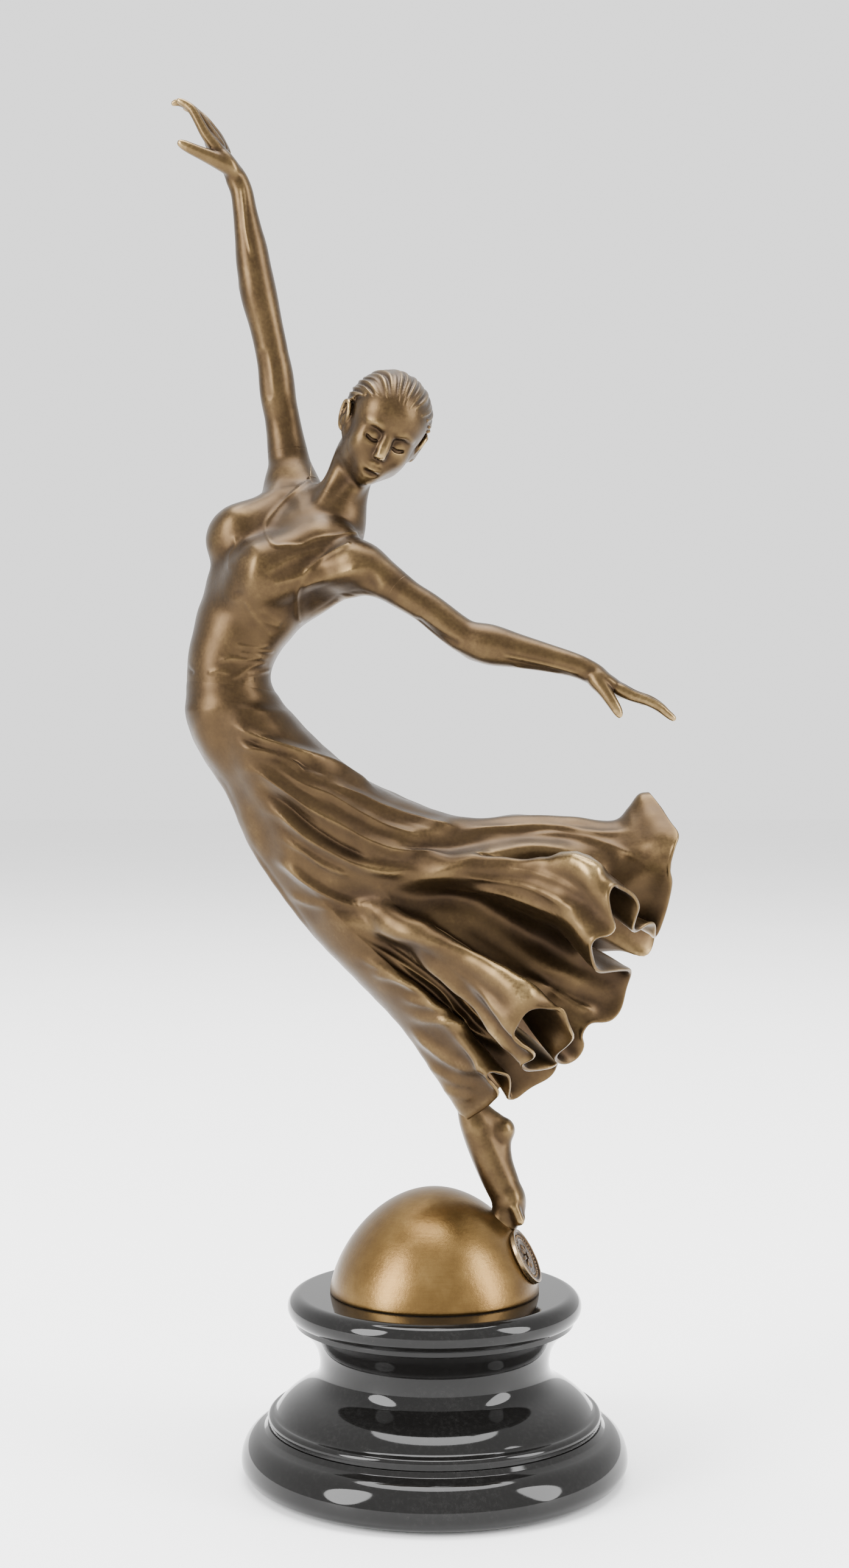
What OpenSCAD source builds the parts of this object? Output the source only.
// Bronze statuette of a dancer on a half ball, on a turned black marble socle.
// Millimetres, +Z up, the origin at the centre of the felt's underside, the viewer at -Y.

/* [Socle] */
// Widest diameter of the marble foot
socle_d = 141; // [120:1:170]
// Diameter of the moulded rim of the marble cap
cap_d = 107.5; // [100:0.5:120]
// Narrowest diameter of the marble waist
waist_d = 84; // [76:1:88]
// Height of the marble's top face
socle_h = 66.5; // [60:0.5:75]
// Thickness of the felt
felt_t = 1; // [0.5:0.1:2]

/* [Half ball] */
// Diameter of the half ball's rim
ball_d = 76.6; // [70:0.2:84]
// Height of the half ball
ball_h = 37.7; // [34:0.1:42]
// Wall of the hollow half ball
ball_wall = 3; // [2:0.1:4]

/* [Foundry seal] */
// Diameter of the seal
seal_d = 21; // [18:0.5:24]
// Thickness of the seal
seal_t = 1.4; // [1:0.1:2]

/* [Castings] */
// Wall of the hollow castings
wall = 2.4; // [2:0.1:3]
// Gap left between castings where they are welded
seam = 0.06; // [0.04:0.01:0.1]
// Diameter of the dowels that align the castings
dowel_d = 3; // [2.5:0.1:3.5]
// Diameter of the rivets that pin the waist and the leg
rivet_d = 2.4; // [2:0.1:3]

/* [Fasteners] */
// Diameter of the threaded stud through the socle
stud_d = 8; // [6:0.5:9]
// Diameter of the stud under the foot
foot_stud_d = 4; // [3:0.5:4.5]

/* [Hidden] */
BRONZE = [0.42, 0.31, 0.17];
MARBLE = [0.05, 0.05, 0.055];
STEEL = [0.62, 0.63, 0.65];
BIG = 200;
FIT = 0.05;

// The socle's driving heights and radii.
foot_r = socle_d / 2;
cap_r = cap_d / 2;
waist_r = waist_d / 2;
step_z = 19.5;
cap_z = socle_h - 11;
bore_r = stud_d / 2 + 0.5;
recess_r = 15;
recess_h = 11;

// The ball's profile is a superellipse, a little fuller than a cone and sharper than a sphere.
BALL_P = 1.95;
BALL_Q = 1.55;
FOOT_AZIMUTH = -8;
FOOT_HEIGHT = 27.5;
SEAL_AZIMUTH = -13;
SEAL_HEIGHT = 14;

// A limb's stations are [x, y, z, radius across, radius in depth], from its root to its end.
RAISED_ARM = [
  [-53, 19, 366, 9, 8.5], [-54.5, 20, 375, 7.7, 7.5], [-56.2, 20, 385, 6.6, 6.6], [-58.4, 18, 399, 6, 6],
  [-60.6, 17, 413, 5.7, 5.8], [-63, 16, 424, 5.7, 5.6], [-65.6, 15, 436, 6.6, 5.6], [-67.2, 15, 445, 6, 5.4],
  [-69.2, 14, 457, 4.7, 4.3], [-70.8, 14, 468, 4, 3.4], [-73, 14, 477.5, 3.8, 3], [-78, 13, 482.5, 4.2, 3.4],
  [-83, 13.5, 489.5, 3.5, 3.6]
];
RAISED_FINGERS = [
  [-83, 13.5, 489.5, 3.3, 3.6], [-87.5, 14, 498.5, 1.9, 3.4],
  [-92, 14, 504.5, 1.6, 3.2], [-95.5, 13, 506.2, 1.3, 2.4]
];
RAISED_THUMB = [[-80, 11, 484, 3.2, 2.8], [-87, 7, 486.2, 1.7, 1.7], [-94, 4, 489, 1.5, 1.5]];

OUTSTRETCHED_ARM = [
  [-24, -21, 331, 8.2, 8.2], [-16.7, -23, 323.2, 6.7, 6.8],
  [-5.2, -25, 314.2, 5, 5.4], [8.3, -27, 304.6, 5.4, 5.5],
  [20, -28, 300.9, 6.4, 5.8], [31.4, -29, 298.2, 5.1, 4.8], [42.1, -30, 295.5, 4.1, 3.9],
  [51.6, -31, 293.1, 3.5, 3.1], [58.5, -31, 288.4, 3.5, 3.4], [66.5, -31.5, 283.8, 2.8, 3.8]
];
OUTSTRETCHED_FINGERS = [
  [66.5, -31.5, 283.8, 2.6, 3.8], [75, -31.5, 281, 1.8, 3.4],
  [80.5, -31.5, 277.6, 1.4, 2.8], [83.2, -31.5, 275.2, 1.1, 1.8]
];
OUTSTRETCHED_THUMB = [[57.5, -32, 287.5, 3, 3], [60.8, -34, 281.5, 1.6, 1.6], [64.2, -35, 276.4, 1.4, 1.4]];

STANDING_LEG = [
  [-47, 3, 213, 7, 7], [-36, 3, 199, 7, 7.5], [-22, 3, 184, 7, 7.5], [-9, 3, 167, 6.4, 7],
  [1, 3, 152, 5.6, 6], [8.5, 2, 139, 4.9, 5], [14.6, 1, 128.5, 4.8, 4.6], [19, 0, 119, 5.6, 4.6],
  [23.6, -2, 109, 5.4, 5], [27.6, -3, 100.5, 4.6, 6.4], [30.8, -4, 94.5, 2.6, 6.2]
];
HEEL = [
  [15.5, 1, 128, 4.6, 4.4], [23.2, 0, 125.4, 4.4, 4.4],
  [24, -1, 119, 4.4, 4.2], [25.4, -2, 109, 4.2, 4.6]
];

// The trunk's solids are [x, y, z, radius across the chest, radius front to back, radius along the spine].
TRUNK = [
  [-78, 0, 291, 17.5, 15, 12], [-73.5, 0, 304, 20.5, 17, 15], [-68.5, 0, 317, 25, 19, 17],
  [-57, 0, 328, 27, 19, 17], [-46, 0, 336, 27.5, 17.5, 16], [-38, 0, 348, 18, 12, 11]
];
BREASTS = [[-75, -3, 342, 9], [-63, -18.5, 326, 9]];
NECK = [
  [-36, 0, 349, 13, 10], [-33.5, -0.5, 357, 8.8, 8.4],
  [-30.8, -1.5, 364, 7.2, 7.2], [-27.6, -3, 371.5, 7, 7.2]
];

// The chest's own directions: its left, its front, and up along the spine.
CHEST_LEFT = [0.59, -0.685, -0.43];
CHEST_UP = [0.58, 0.03, 0.814];

// The head's place, and its tilt towards the viewer's right.
HEAD_AT = [-18, -8, 382.5];
HEAD_TILT = [18, 21, 14];

// A skirt section is [left x, left z, right x, right z, half depth, bulge, share of leg nose].
SECTIONS = [
  [-92.3, 295, -59.5, 290, 15, 0, 0], [-91.5, 279, -52.3, 278.5, 18, 0, 0],
  [-88.9, 269.3, -40, 265.5, 20, 0, 0.05], [-84, 260, -24.2, 253.2, 21, 0, 0.1],
  [-75.9, 247.7, -6.9, 245.1, 22, 2, 0.2], [-67.9, 229, 13.2, 239.6, 24, 5, 0.3],
  [-57.2, 211.8, 31.9, 241.1, 27, 9, 0.36], [-44.3, 195.9, 49.1, 241.7, 31, 14, 0.4],
  [-28.5, 179.3, 63.5, 241.7, 36, 19, 0.42], [-12.7, 162.3, 71.6, 245.7, 41, 24, 0.44],
  [-0.3, 145.1, 74.2, 249.7, 45, 27, 0.46], [10.3, 127.8, 77.9, 252.6, 49, 29, 0.48]
];
// A fold is [angle at the hem, half width in degrees, crest height, how far down it starts].
FOLDS = [
  [213, 12, 3, 0.55], [243, 17, 7, 0.3], [290, 19, 7.5, 0.2], [335, 16, 4, 0.35],
  [25, 18, 5, 0.4], [68, 19, 6, 0.3], [110, 18, 6, 0.35], [150, 15, 4.5, 0.5]
];
AROUND = 60;
ALONG = 3;
SKIRT_Y = 2;
LEG_RIVETS = [[-36, 3, 199], [-9, 3, 167]];
LEG_GAP = 0.25;
LEG_RIVET_LENGTH = 26;
SEAM_WAIST = [-76, 0, 292.5];

// Vector and curve helpers.
function unit(v) = v / norm(v);
function lerp(a, b, t) = a + (b - a) * t;
function bezier(p0, p1, p2, p3, n = 14) = [
  for (i = [0:n])
    let (t = i / n, s = 1 - t)
    s * s * s * p0 + 3 * s * s * t * p1 + 3 * s * t * t * p2 + t * t * t * p3
];
function arc(c, r, from, to, n = 12) =
  [for (i = [0:n]) let (a = lerp(from, to, i / n)) [c.x + r * cos(a), c.y + r * sin(a)]];
function oval(c, rx, ry, from, to, n = 14) =
  [for (i = [0:n]) let (a = lerp(from, to, i / n)) [c.x + rx * cos(a), c.y + ry * sin(a)]];
function spline(a, b, c, d, t) =
  0.5 * (2 * b + (c - a) * t + (2 * a - 5 * b + 4 * c - d) * t * t + (3 * b - a - 3 * c + d) * t * t * t);

// The ball's outline at a height above its rim, shrunk by inset for the inner face.
function ball_r(h, inset = 0) =
  (ball_d / 2 - inset) * pow(max(0, 1 - pow(h / (ball_h - inset), BALL_Q)), 1 / BALL_P);
function ball_slope(h) = atan2(
  BALL_Q * pow(h / ball_h, BALL_Q - 1) / ball_h,
  BALL_P * ball_r(h) / pow(ball_d / 2, BALL_P)
);
function ball_outline(inset) =
  [for (i = [0:24]) let (h = (ball_h - inset) * sin(i * 90 / 24)) [ball_r(h, inset), socle_h + h]];

// Puts its children on the ball's surface, with +Z along the outward normal.
module on_ball(azimuth, height) {
  rotate([0, 0, azimuth])
    translate([ball_r(height), 0, socle_h + height])
      rotate([0, 90 - ball_slope(height), 0])
        children();
}

module ball_solid(inset) {
  rotate_extrude($fn = 96)
    polygon(concat([[0, socle_h]], ball_outline(inset)));
}

module turned(outline) {
  rotate_extrude($fn = 128)
    polygon(outline);
}

module bore(r, low, high) {
  translate([0, 0, low])
    cylinder(r = r, h = high - low, $fn = 64);
}

module hexagon(across_flats, t) {
  cylinder(d = across_flats / cos(30), h = t, $fn = 6);
}

// An ellipsoid that is round as seen from the front and has its own depth.
module bead(s, grow = 0) {
  translate([s[0], s[1], s[2]])
    scale([s[3] + grow, s[4] + grow, s[3] + grow])
      sphere(r = 1, $fn = 20);
}

module limb(stations, grow = 0) {
  for (i = [0:len(stations) - 2])
    hull() {
      bead(stations[i], grow);
      bead(stations[i + 1], grow);
    }
}

// Puts its children at a point, with +Z along a direction.
module aimed(at, along) {
  translate(at)
    rotate([0, acos(unit(along).z), atan2(along.y, along.x)])
      children();
}

// What a seam's plane cuts away: a wide disc of the space that along points into.
module beyond(at, along, reach = 13, depth = 30) {
  aimed(at, along)
    cylinder(r = reach, h = depth, $fn = 32);
}

module pin(at, along, d, length) {
  aimed(at, along)
    cylinder(d = d, h = length, center = true, $fn = 32);
}

// An ellipsoid lined up with the chest.
module chest_blob(s, inset = 0) {
  l = unit(CHEST_LEFT);
  f = unit(cross(l, CHEST_UP));
  u = cross(f, l);
  multmatrix([[l.x, f.x, u.x, s[0]], [l.y, f.y, u.y, s[1]], [l.z, f.z, u.z, s[2]], [0, 0, 0, 1]])
    scale([s[3] - inset, s[4] - inset, s[5] - inset])
      sphere(r = 1, $fn = 24);
}

module chest(inset = 0) {
  for (i = [0:len(TRUNK) - 2])
    hull() {
      chest_blob(TRUNK[i], inset);
      chest_blob(TRUNK[i + 1], inset);
    }
}

// The seams' planes: a point on each, and the way that leads out of the torso.
function between(a, b, t) = [for (k = [0:2]) lerp(a[k], b[k], t)];
function direction(a, b) = unit([for (k = [0:2]) b[k] - a[k]]);
RAISED_SEAM = between(RAISED_ARM[1], RAISED_ARM[2], 0.3);
RAISED_OUT = direction(RAISED_ARM[1], RAISED_ARM[2]);
OUTSTRETCHED_SEAM = between(OUTSTRETCHED_ARM[1], OUTSTRETCHED_ARM[2], 0.2);
OUTSTRETCHED_OUT = direction(OUTSTRETCHED_ARM[1], OUTSTRETCHED_ARM[2]);
NECK_SEAM = between(NECK[1], NECK[2], 0.2);
NECK_OUT = direction(NECK[1], NECK[2]);
WAIST_OUT = [-0.14, 0, -0.99];
WAIST_PIN_AT = SEAM_WAIST + 4 * WAIST_OUT;
WAIST_PIN_WAY = [0, 1, 0];
WAIST_PIN_LENGTH = 3.4;

// A skirt section's numbers anywhere down the skirt, with s counted in sections.
function section(s) =
  let (
    last = len(SECTIONS) - 1,
    i = min(floor(s), last - 1),
    t = s - i,
    a = SECTIONS[max(i - 1, 0)],
    b = SECTIONS[i],
    c = SECTIONS[i + 1],
    d = SECTIONS[min(i + 2, last)]
  )
  spline(a, b, c, d, t);
function turn_apart(a, b) = abs((a - b + 540) % 360 - 180);
function fold_height(a, v) = [
  for (f = FOLDS)
    let (
      near = turn_apart(a, f[0]) / f[1],
      grown = max(0, (v - f[3]) / (1 - f[3]))
    )
    near < 1 ? f[2] * pow(grown, 1.3) * (0.5 + 0.5 * cos(180 * near)) : 0
];
function sum(v, i = 0) = i == len(v) ? 0 : v[i] + sum(v, i + 1);
function skirt_point(a, s, inset) =
  let (
    q = section(s),
    left = [q[0], q[1]],
    right = [q[2], q[3]],
    side = unit(right - left),
    axis = [side.y, -side.x],
    half = norm(right - left) / 2,
    folds = sum(fold_height(a, s / (len(SECTIONS) - 1))),
    c = cos(a),
    nose = 1 - q[6] * pow((1 - c) / 2, 1.2),
    blown = q[5] * (1 - pow(c, 4)) * (0.76 + 0.24 * c),
    flat = (left + right) / 2 + side * (half - inset + folds * 0.5) * c + axis * blown,
    depth = (q[4] * nose - inset + folds) * sin(a)
  )
  [flat.x, SKIRT_Y * s / (len(SECTIONS) - 1) + depth, flat.y];

// A closed shell between two lofted faces, open at both ends.
module lofted_shell(from, to, thick) {
  rows = (to - from) * ALONG;
  face = function (inset) [
    for (i = [0:rows], j = [0:AROUND - 1])
      skirt_point(j * 360 / AROUND, from + i / ALONG, inset)
  ];
  n = (rows + 1) * AROUND;
  at = function (i, j, inner) inner * n + i * AROUND + j % AROUND;
  walls = [
    for (i = [0:rows - 1], j = [0:AROUND - 1], inner = [0, 1])
      let (
        a = at(i, j, inner),
        b = at(i, j + 1, inner),
        c = at(i + 1, j + 1, inner),
        d = at(i + 1, j, inner)
      )
      each inner == 0 ? [[a, b, c], [a, c, d]] : [[a, c, b], [a, d, c]]
  ];
  rims = [
    for (j = [0:AROUND - 1], i = [0, rows])
      let (
        a = at(i, j, 0),
        b = at(i, j + 1, 0),
        c = at(i, j + 1, 1),
        d = at(i, j, 1)
      )
      each i == 0 ? [[a, c, b], [a, d, c]] : [[a, b, c], [a, c, d]]
  ];
  polyhedron(points = concat(face(0), face(thick)), faces = concat(walls, rims));
}

// An elliptical tube along the trunk at the waist, which slips inside the skirt's top.
module waist_spigot(inset, low, high) {
  translate(SEAM_WAIST)
    rotate([0, -8, 0])
      translate([0, 0, low])
        linear_extrude(high - low)
          scale([16.4 - inset, 14.8 - inset])
            circle(r = 1, $fn = 40);
}

module base_felt() {
  color([0.08, 0.16, 0.1])
    bore(foot_r - 6.5, 0, felt_t);
}

module socle_foot() {
  color(MARBLE)
    difference() {
      turned(concat(
        [[0, felt_t]],
        arc([foot_r - 5.5, felt_t + 5.5], 5.5, -90, 0),
        oval([foot_r - 8.5, felt_t + 5.5], 8.5, 10.8, 6, 90),
        [[foot_r - 9.4, felt_t + 16.3], [foot_r - 9.4, step_z], [0, step_z]]
      ));
      bore(recess_r, 0, recess_h);
      bore(bore_r, 0, step_z + 1);
    }
}

module socle_waist() {
  neck_z = step_z + 22;
  flare = bezier(
    [foot_r - 12.2, step_z + 4], [foot_r - 19, step_z + 14], [waist_r - 0.6, step_z + 12], [waist_r, neck_z]
  );
  cove = bezier(
    [waist_r, neck_z], [waist_r + 0.3, neck_z + 7], [cap_r - 7, neck_z + 11], [cap_r - 3.4, cap_z]
  );
  color(MARBLE)
    difference() {
      turned(concat(
        [[0, step_z]],
        arc([foot_r - 11.7, step_z + 2], 2, -90, 90),
        flare,
        cove,
        [[0, cap_z]]
      ));
      bore(bore_r, step_z - 1, cap_z + 1);
    }
}

module socle_cap() {
  color(MARBLE)
    difference() {
      turned(concat(
        [[0, cap_z], [cap_r - 2.8, cap_z], [cap_r - 2.8, cap_z + 1.4]],
        oval([cap_r - 4.8, socle_h - 4.9], 4.8, 4.9, -68, 90),
        [[0, socle_h]]
      ));
      bore(bore_r, cap_z - 1, socle_h + 1);
    }
}

module socle_stud() {
  color(STEEL)
    bore(stud_d / 2, 2.4, socle_h + 11);
}

module socle_washer() {
  color(STEEL)
    difference() {
      bore(12, recess_h - 2, recess_h);
      bore(stud_d / 2 + 0.3, 0, socle_h);
    }
}

module socle_nut() {
  color(STEEL)
    difference() {
      translate([0, 0, recess_h - 8.5])
        hexagon(13, 6.5);
      bore(stud_d / 2 + FIT, 0, socle_h);
    }
}

module half_ball() {
  color(BRONZE)
    difference() {
      ball_solid(0);
      difference() {
        ball_solid(ball_wall);
        bore(ball_d, socle_h - 1, socle_h - 0.5);
      }
      on_ball(FOOT_AZIMUTH, FOOT_HEIGHT)
        translate([0, 0, -8])
          cylinder(d = foot_stud_d + 2 * FIT, h = 12, $fn = 40);
      on_ball(FOOT_AZIMUTH, FOOT_HEIGHT)
        translate([0, 0, -ball_wall - 5])
          cylinder(d = 11, h = 5.4, $fn = 48);
      on_ball(SEAL_AZIMUTH, SEAL_HEIGHT)
        translate([0, 0, -1])
          cylinder(d = seal_d, h = 4, $fn = 64);
      on_ball(SEAL_AZIMUTH, SEAL_HEIGHT)
        translate([0, 0, -8])
          cylinder(d = rivet_d + 2 * FIT, h = 12, $fn = 32);
    }
}

module ball_bridge() {
  color(STEEL)
    difference() {
      intersection() {
        translate([-BIG / 2, -8, socle_h + 5])
          cube([BIG, 16, 4]);
        ball_solid(ball_wall + FIT);
      }
      bore(stud_d / 2 + FIT, socle_h, socle_h + 20);
    }
}

module foot_stud() {
  color(STEEL)
    on_ball(FOOT_AZIMUTH, FOOT_HEIGHT)
      translate([0, 0, -8.5])
        cylinder(d = foot_stud_d, h = 14, $fn = 40);
}

module foot_nut() {
  color(STEEL)
    on_ball(FOOT_AZIMUTH, FOOT_HEIGHT)
      translate([0, 0, -ball_wall - 3])
        difference() {
          hexagon(7, 3.2);
          translate([0, 0, -1])
            cylinder(d = foot_stud_d + 2 * FIT, h = 6, $fn = 40);
        }
}

module foundry_seal() {
  color([0.38, 0.27, 0.17])
    on_ball(SEAL_AZIMUTH, SEAL_HEIGHT)
      translate([0, 0, -0.9])
        difference() {
          cylinder(d = seal_d - 0.2, h = seal_t + 0.6, $fn = 96);
          translate([0, 0, seal_t + 0.2])
            cylinder(d = seal_d - 2, h = 1, $fn = 96);
          translate([0, 0, -1])
            cylinder(d = rivet_d + 2 * FIT, h = 5, $fn = 32);
        }
}

module seal_rivet() {
  color(BRONZE)
    on_ball(SEAL_AZIMUTH, SEAL_HEIGHT)
      translate([0, 0, -ball_wall - 1.6])
        cylinder(d = rivet_d, h = ball_wall + seal_t + 1.4, $fn = 32);
}

module standing_leg() {
  color(BRONZE)
    difference() {
      union() {
        limb(STANDING_LEG);
        limb(HEEL);
        // The pad of bronze that carries the toes on the ball.
        hull() {
          bead([27, -3.5, 96, 5.4, 6.6]);
          on_ball(FOOT_AZIMUTH, FOOT_HEIGHT)
            cylinder(r = 7, h = 0.4, $fn = 32);
        }
      }
      ball_solid(-seam);
      on_ball(FOOT_AZIMUTH, FOOT_HEIGHT)
        cylinder(d = foot_stud_d + 2 * FIT, h = 5.8, $fn = 40);
      for (p = LEG_RIVETS)
        pin(p, [0, 1, 0], rivet_d + 0.1, 60);
    }
}

module leg_rivets() {
  color(BRONZE)
    for (p = LEG_RIVETS)
      pin(p, [0, 1, 0], rivet_d, LEG_RIVET_LENGTH);
}

module skirt_casting() {
  color(BRONZE)
    difference() {
      lofted_shell(0, len(SECTIONS) - 1, wall);
      limb(STANDING_LEG, LEG_GAP);
      limb(HEEL, LEG_GAP);
      for (p = LEG_RIVETS)
        pin(p, [0, 1, 0], rivet_d + 0.1, 60);
      waist_spigot(2.2, -8, 2);
      beyond(SEAM_WAIST - seam * WAIST_OUT / 2, -WAIST_OUT, 60);
      pin(WAIST_PIN_AT, WAIST_PIN_WAY, rivet_d + 0.1, 60);
    }
}

module waist_rivets() {
  color(BRONZE)
    for (side = [-1, 1])
      pin(WAIST_PIN_AT + side * WAIST_PIN_WAY * 12.9, WAIST_PIN_WAY, rivet_d, WAIST_PIN_LENGTH);
}

module torso_casting() {
  color(BRONZE)
    difference() {
      union() {
        difference() {
          union() {
            chest();
            for (b = BREASTS)
              hull() {
                bead([b[0], b[1], b[2], b[3], b[3]]);
                bead([lerp(b[0], -50, 0.6), lerp(b[1], 0, 0.6), lerp(b[2], 335, 0.6), 15, 13]);
              }
            hull() {
              bead(RAISED_ARM[0]);
              chest_blob([-45, 4, 345, 14, 11, 12]);
            }
            hull() {
              bead(OUTSTRETCHED_ARM[0]);
              chest_blob([-40, -4, 338, 14, 12, 14]);
            }
            limb([for (i = [0:2]) RAISED_ARM[i]]);
            limb([for (i = [0:2]) OUTSTRETCHED_ARM[i]]);
            limb([for (i = [0:2]) NECK[i]]);
          }
          beyond(SEAM_WAIST - seam * WAIST_OUT, WAIST_OUT, 60);
        }
        waist_spigot(2.5, -7.5, 1);
      }
      chest(wall + 1);
      waist_spigot(4.6, -12, 5);
      beyond(RAISED_SEAM, RAISED_OUT);
      beyond(OUTSTRETCHED_SEAM, OUTSTRETCHED_OUT);
      beyond(NECK_SEAM, NECK_OUT, 11);
      pin(RAISED_SEAM, RAISED_OUT, dowel_d + 0.12, 12.4);
      pin(OUTSTRETCHED_SEAM, OUTSTRETCHED_OUT, dowel_d + 0.12, 12.4);
      pin(NECK_SEAM, NECK_OUT, dowel_d + 0.12, 12.4);
      pin(WAIST_PIN_AT, WAIST_PIN_WAY, rivet_d + 0.1, 60);
    }
}

module raised_arm() {
  color(BRONZE)
    difference() {
      union() {
        limb(RAISED_ARM);
        limb(RAISED_FINGERS);
        limb(RAISED_THUMB);
      }
      beyond(RAISED_SEAM + seam * RAISED_OUT, -RAISED_OUT);
      pin(RAISED_SEAM, RAISED_OUT, dowel_d + 0.12, 12.4);
    }
}

module raised_arm_dowel() {
  color(BRONZE)
    pin(RAISED_SEAM, RAISED_OUT, dowel_d, 12);
}

module outstretched_arm() {
  color(BRONZE)
    difference() {
      union() {
        limb(OUTSTRETCHED_ARM);
        limb(OUTSTRETCHED_FINGERS);
        limb(OUTSTRETCHED_THUMB);
      }
      beyond(OUTSTRETCHED_SEAM + seam * OUTSTRETCHED_OUT, -OUTSTRETCHED_OUT);
      pin(OUTSTRETCHED_SEAM, OUTSTRETCHED_OUT, dowel_d + 0.12, 12.4);
    }
}

module outstretched_arm_dowel() {
  color(BRONZE)
    pin(OUTSTRETCHED_SEAM, OUTSTRETCHED_OUT, dowel_d, 12);
}

// A part of the head, placed in the head's own directions: left, front and up.
module head_blob(at, radii) {
  translate(HEAD_AT)
    rotate([HEAD_TILT[0], HEAD_TILT[1], HEAD_TILT[2]])
      translate([at[0], -at[1], at[2]])
        scale([radii[0], radii[1], radii[2]])
          sphere(r = 1, $fn = 22);
}

module head_casting() {
  color(BRONZE)
    difference() {
      union() {
        head_blob([0, -2.5, 4.5], [14.6, 17.5, 16]);
        hull() {
          head_blob([0, 3, 0], [11.5, 12, 12]);
          head_blob([0, 7.5, -14.5], [4.5, 4.5, 4]);
          head_blob([0, -1, -9], [9.5, 6, 5]);
        }
        hull() {
          head_blob([0, 14.5, 2], [1.4, 1.4, 1.4]);
          head_blob([0, 16.6, -5], [2.2, 2, 1.8]);
          head_blob([0, 10, -5], [3, 2, 3]);
        }
        for (side = [-1, 1])
          hull() {
            head_blob([side * 14, -2.5, 1.5], [1.2, 3.2, 3.6]);
            head_blob([side * 13, -1.5, -4], [1.2, 2, 2]);
          }
        hull() {
          head_blob([0, -16.5, -3], [6.5, 5.5, 6]);
          head_blob([0, -10, -1], [9, 5, 7]);
        }
        limb([for (i = [1:3]) NECK[i]]);
        hull() {
          bead(NECK[3]);
          head_blob([0, -3, -6], [7, 7, 5]);
        }
        for (side = [-1, 1])
          hull() {
            head_blob([side * 4.5, 10.8, 5.2], [3.4, 1.6, 1]);
            head_blob([side * 8.5, 8.4, 4.2], [2, 1.6, 1]);
          }
      }
      beyond(NECK_SEAM + seam * NECK_OUT, -NECK_OUT, 40);
      pin(NECK_SEAM, NECK_OUT, dowel_d + 0.12, 12.4);
    }
}

module neck_dowel() {
  color(BRONZE)
    pin(NECK_SEAM, NECK_OUT, dowel_d, 12);
}

base_felt();
socle_foot();
socle_waist();
socle_cap();
socle_stud();
socle_washer();
socle_nut();
half_ball();
ball_bridge();
foot_stud();
foot_nut();
foundry_seal();
seal_rivet();
standing_leg();
leg_rivets();
skirt_casting();
waist_rivets();
torso_casting();
raised_arm();
raised_arm_dowel();
outstretched_arm();
outstretched_arm_dowel();
head_casting();
neck_dowel();
